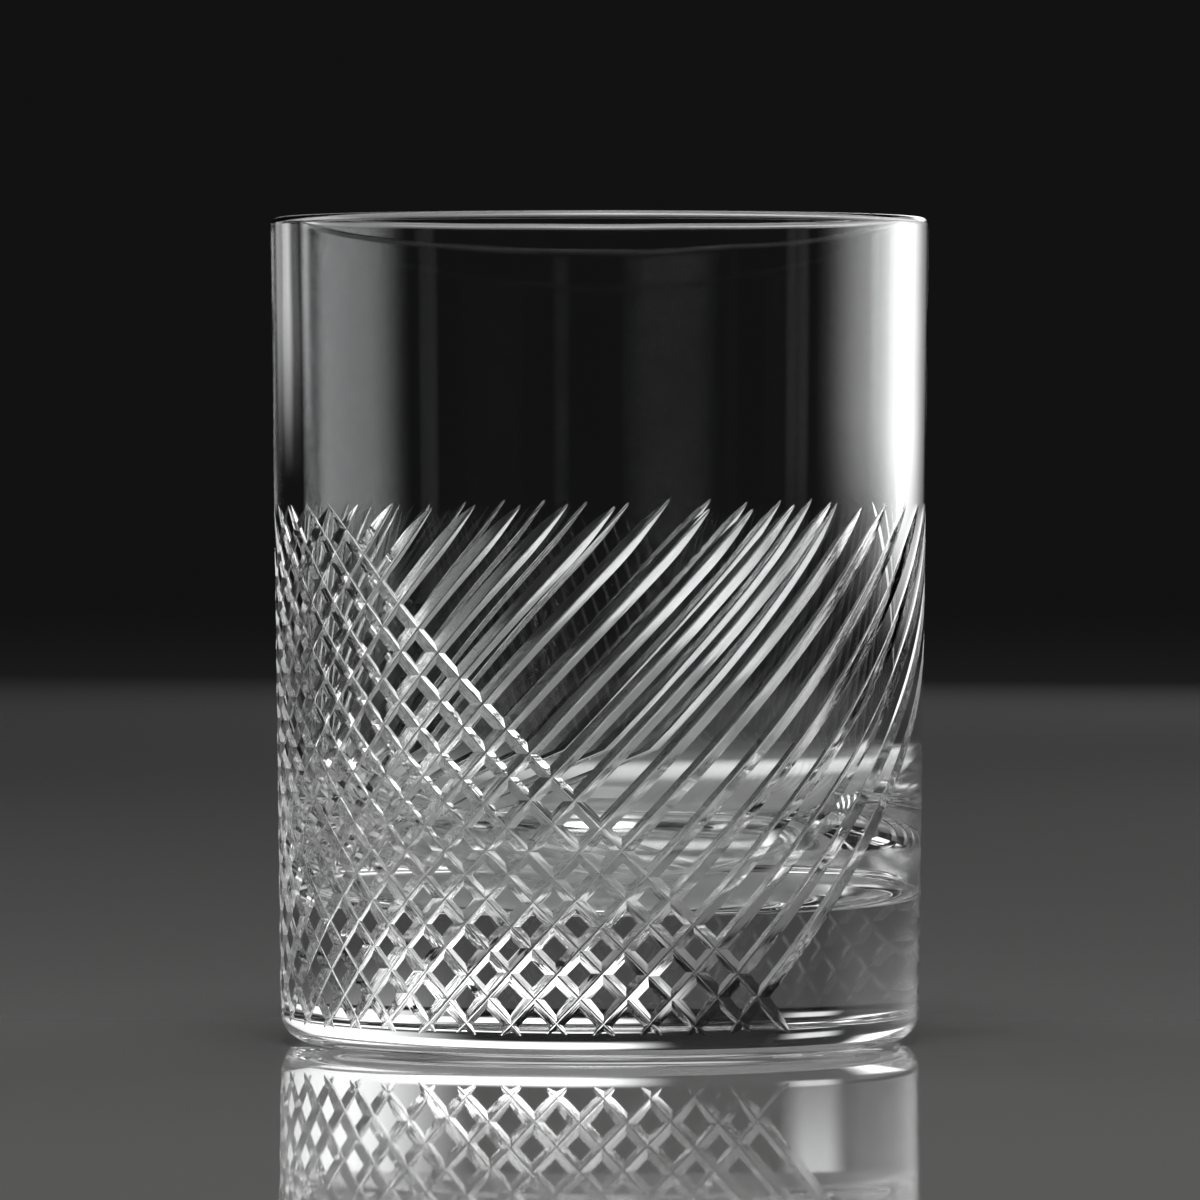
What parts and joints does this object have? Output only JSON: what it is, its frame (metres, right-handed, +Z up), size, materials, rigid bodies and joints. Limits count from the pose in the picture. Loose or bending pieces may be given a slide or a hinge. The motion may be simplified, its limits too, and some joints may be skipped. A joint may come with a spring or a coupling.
{
  "type": "whiskey tumbler",
  "caption": "Clear cut-crystal tumbler: straight side, thick solid base, rounded inside and crossing wheel-cut grooves. Holds a short drink.",
  "frame": {"origin": "centre of the foot, on the surface that the tumbler stands on", "axes": "+Z up along the tumbler's axis from foot to rim; the front of the cut pattern faces -Y and +X is to its right"},
  "size_m": [0.08, 0.08, 0.1],
  "materials": {
    "crystal": "polished clear crystal, with wheel-cut grooves outside and a finely worn standing ring"
  },
  "bodies": {
    "root": {"tumbler": "crystal"}
  },
  "joints": []
}
